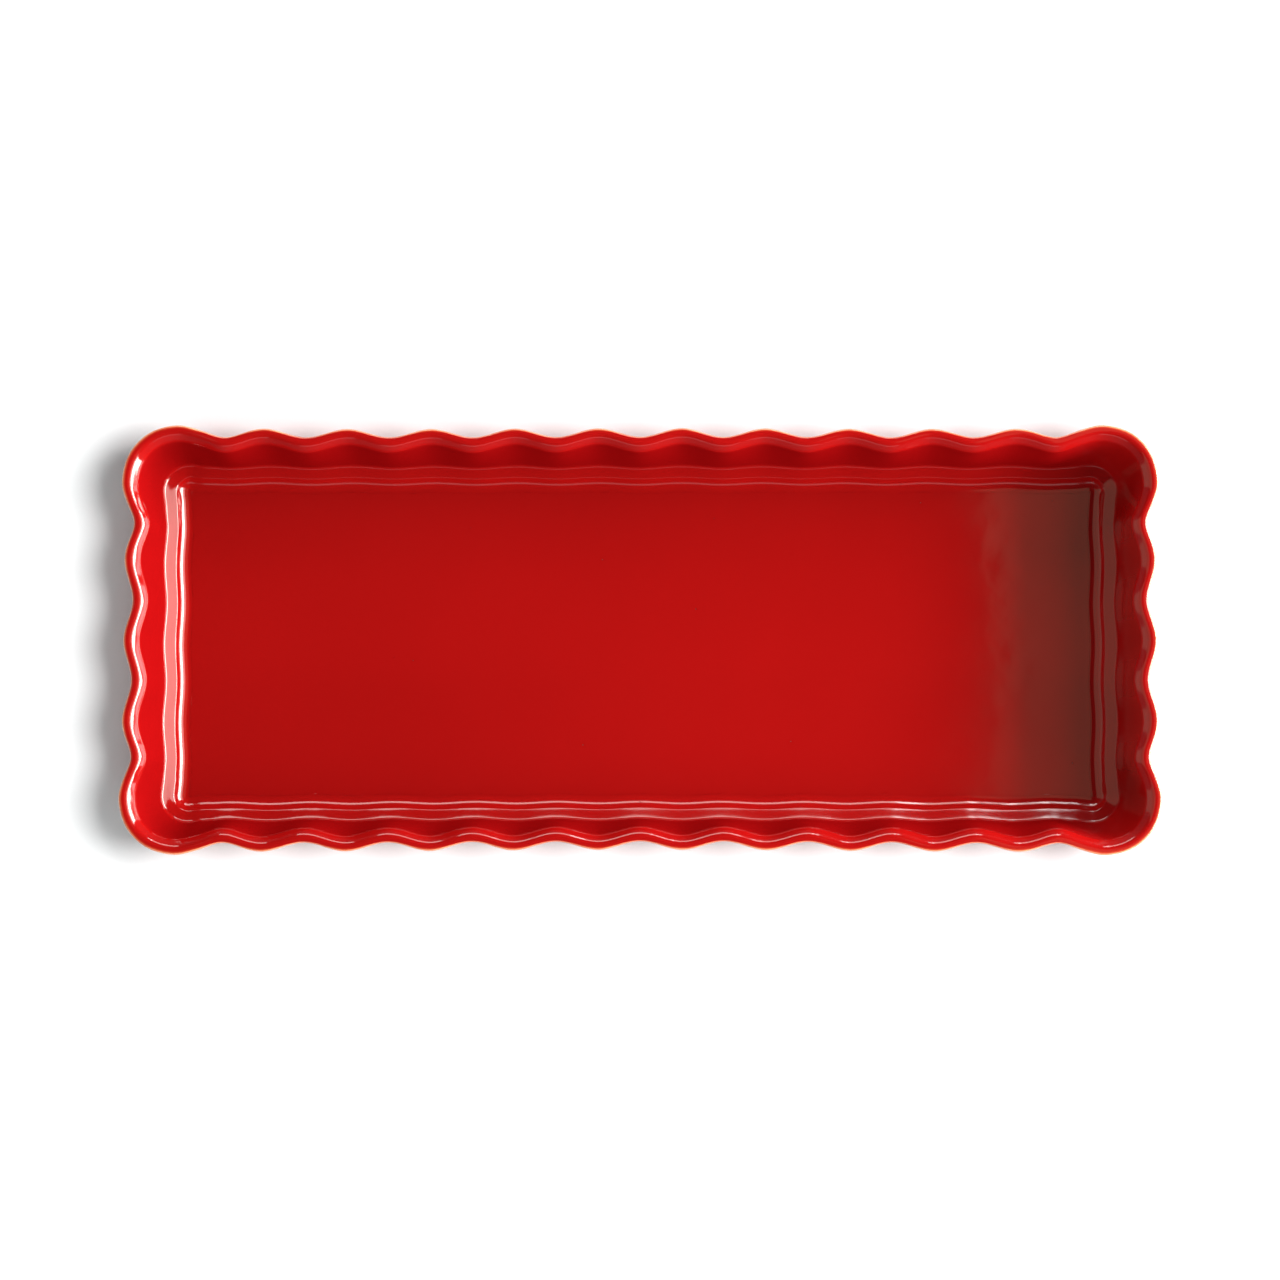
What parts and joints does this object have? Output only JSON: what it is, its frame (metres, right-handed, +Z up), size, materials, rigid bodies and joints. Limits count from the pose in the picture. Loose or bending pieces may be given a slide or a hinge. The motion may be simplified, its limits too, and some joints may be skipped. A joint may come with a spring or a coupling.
{
  "type": "tart pan",
  "caption": "Slim rectangular tart pan of glazed stoneware with a fluted wall, a thick rounded rim and a flat inside floor.",
  "frame": {"origin": "centre of the plane that the foot ring stands on", "axes": "+X along the long side, +Y along the short side, +Z up"},
  "size_m": [0.3602, 0.1492, 0.035],
  "materials": {
    "bare_stoneware": "unglazed fired clay, matt",
    "red_glaze": "glossy deep red glaze, thinner and lighter on the rim"
  },
  "bodies": {
    "root": {"clay_body": "bare_stoneware", "glaze_coat": "red_glaze", "base_glaze_panel": "red_glaze"}
  },
  "joints": []
}
